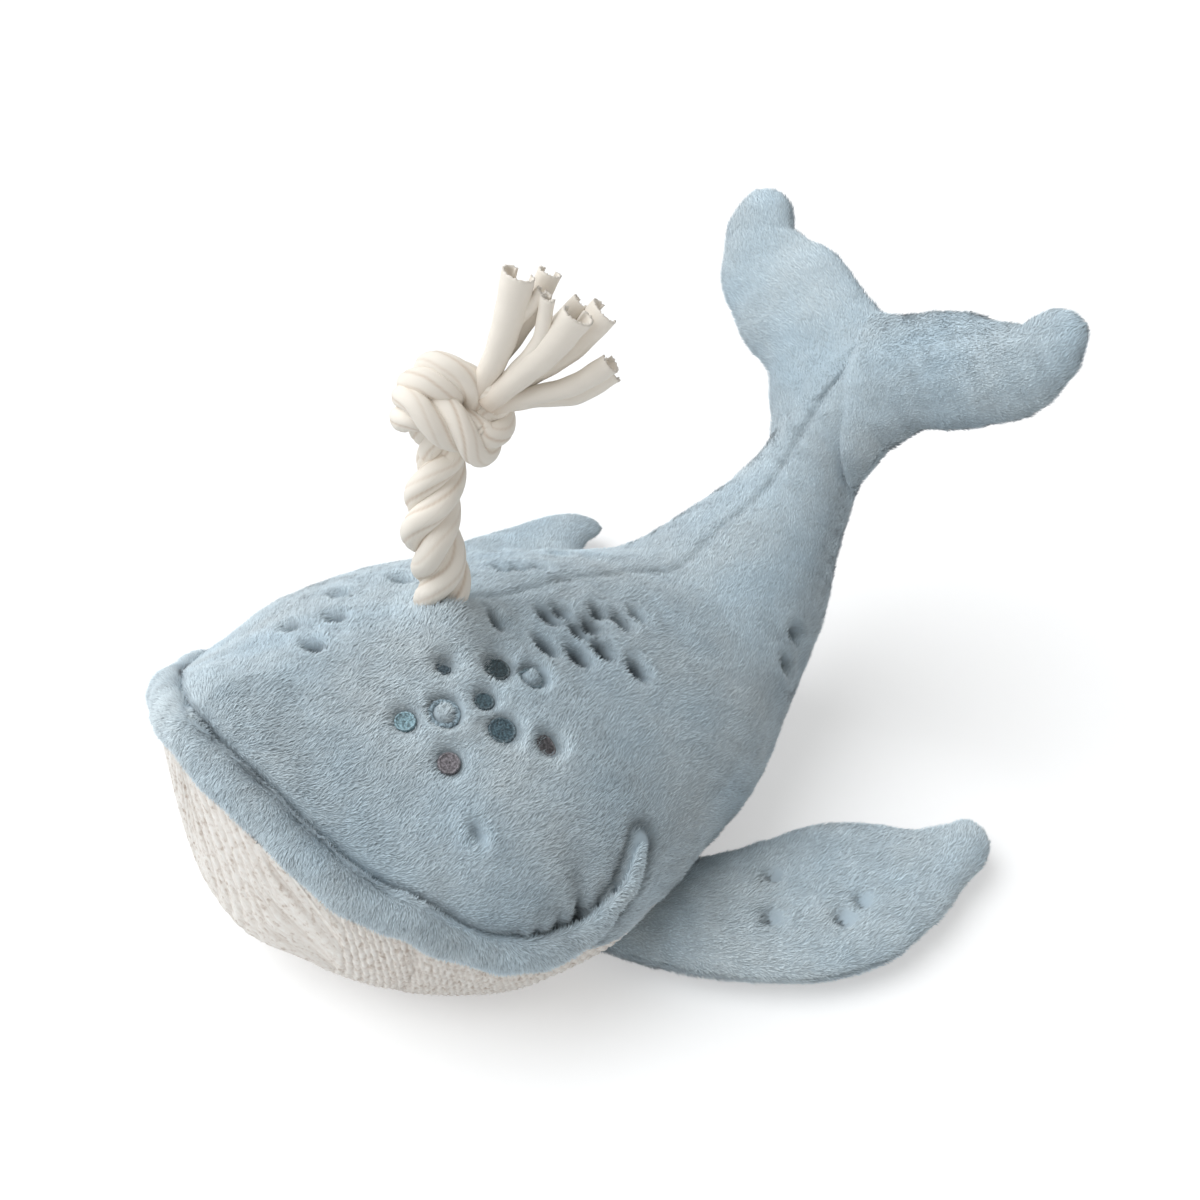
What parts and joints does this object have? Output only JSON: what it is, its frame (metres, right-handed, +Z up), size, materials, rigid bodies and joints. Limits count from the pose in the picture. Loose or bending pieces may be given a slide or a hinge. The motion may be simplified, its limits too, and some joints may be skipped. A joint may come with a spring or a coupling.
{
  "type": "plush whale toy",
  "caption": "Stuffed plush whale with a knit belly, a padded lip, flippers, a raised fluked tail and a knotted jersey rope with a tassel as its spout.",
  "frame": {"origin": "point of the flat patch on which the belly rests that lies below the centre of mass", "axes": "the head points to -X, the left side of the whale to -Y, +Z is up"},
  "size_m": [0.3701, 0.3587, 0.2723],
  "materials": {
    "fur": "short pile plush",
    "knit": "ribbed knit",
    "stuffing": "loose fibre stuffing",
    "jersey": "cotton jersey strips",
    "thread": "satin stitch"
  },
  "bodies": {
    "body": {"belly_panel": "knit", "chin_panel": "knit", "back_panel_left": "fur", "back_panel_right": "fur", "body_stuffing": "stuffing", "lip": "fur", "rope_anchor": "jersey", "spot_1": "thread", "spot_2": "thread", "spot_3": "thread", "spot_4": "thread", "spot_5": "thread", "spot_6": "thread", "spot_7": "thread", "spot_8": "thread", "spot_9": "thread"},
    "tail": {"tail_panel_left": "fur", "tail_panel_right": "fur", "tail_stuffing": "stuffing"},
    "fluke_left": {"fluke_left_top_panel": "fur", "fluke_left_under_panel": "fur", "fluke_left_stuffing": "stuffing"},
    "fluke_right": {"fluke_right_top_panel": "fur", "fluke_right_under_panel": "fur", "fluke_right_stuffing": "stuffing"},
    "flipper_left": {"flipper_left_top_panel": "fur", "flipper_left_under_panel": "fur", "flipper_left_stuffing": "stuffing"},
    "flipper_right": {"flipper_right_top_panel": "fur", "flipper_right_under_panel": "fur", "flipper_right_stuffing": "stuffing"},
    "spout": {"rope_stalk": "jersey", "rope_knot": "jersey"},
    "tassel": {"tassel_strip_1": "jersey", "tassel_strip_2": "jersey", "tassel_strip_3": "jersey", "tassel_strip_4": "jersey", "tassel_strip_5": "jersey", "tassel_strip_6": "jersey", "tassel_strip_7": "jersey", "tassel_strip_8": "jersey", "tassel_strip_9": "jersey"}
  },
  "joints": [
    {"name": "tail_flex", "type": "hinge", "parent": "body", "child": "tail", "pos_m": [0.13368, 0.00268, 0.08669], "axis": [0.0203, -0.9995, -0.0242], "range_deg": [-15, 20], "stiffness_Nm_per_rad": 0.6},
    {"name": "fluke_left_flex", "type": "hinge", "parent": "tail", "child": "fluke_left", "pos_m": [0.19355, -0.02812, 0.18805], "axis": [-0.3946, 0, -0.9189], "range_deg": [-20, 20], "stiffness_Nm_per_rad": 0.12},
    {"name": "fluke_right_flex", "type": "hinge", "parent": "tail", "child": "fluke_right", "pos_m": [0.19105, 0.0238, 0.18912], "axis": [0.3946, 0, 0.9189], "range_deg": [-20, 20], "stiffness_Nm_per_rad": 0.12},
    {"name": "flipper_left_lift", "type": "hinge", "parent": "body", "child": "flipper_left", "pos_m": [0.0043, -0.08899, 0.0135], "axis": [-0.9981, 0.0611, 0], "range_deg": [0, 24], "stiffness_Nm_per_rad": 0.2},
    {"name": "flipper_right_lift", "type": "hinge", "parent": "body", "child": "flipper_right", "pos_m": [0.02167, 0.09504, 0.0135], "axis": [0.9799, 0.1994, 0], "range_deg": [0, 24], "stiffness_Nm_per_rad": 0.2},
    {"name": "spout_sway", "type": "hinge", "parent": "body", "child": "spout", "pos_m": [-0.03648, 0.00009, 0.12478], "axis": [0, 1, 0], "range_deg": [-18, 18], "stiffness_Nm_per_rad": 0.3},
    {"name": "tassel_flop", "type": "hinge", "parent": "spout", "child": "tassel", "pos_m": [-0.01487, -0.01168, 0.22453], "axis": [0.52, -0.3778, -0.766], "range_deg": [-20, 20], "stiffness_Nm_per_rad": 0.05}
  ]
}
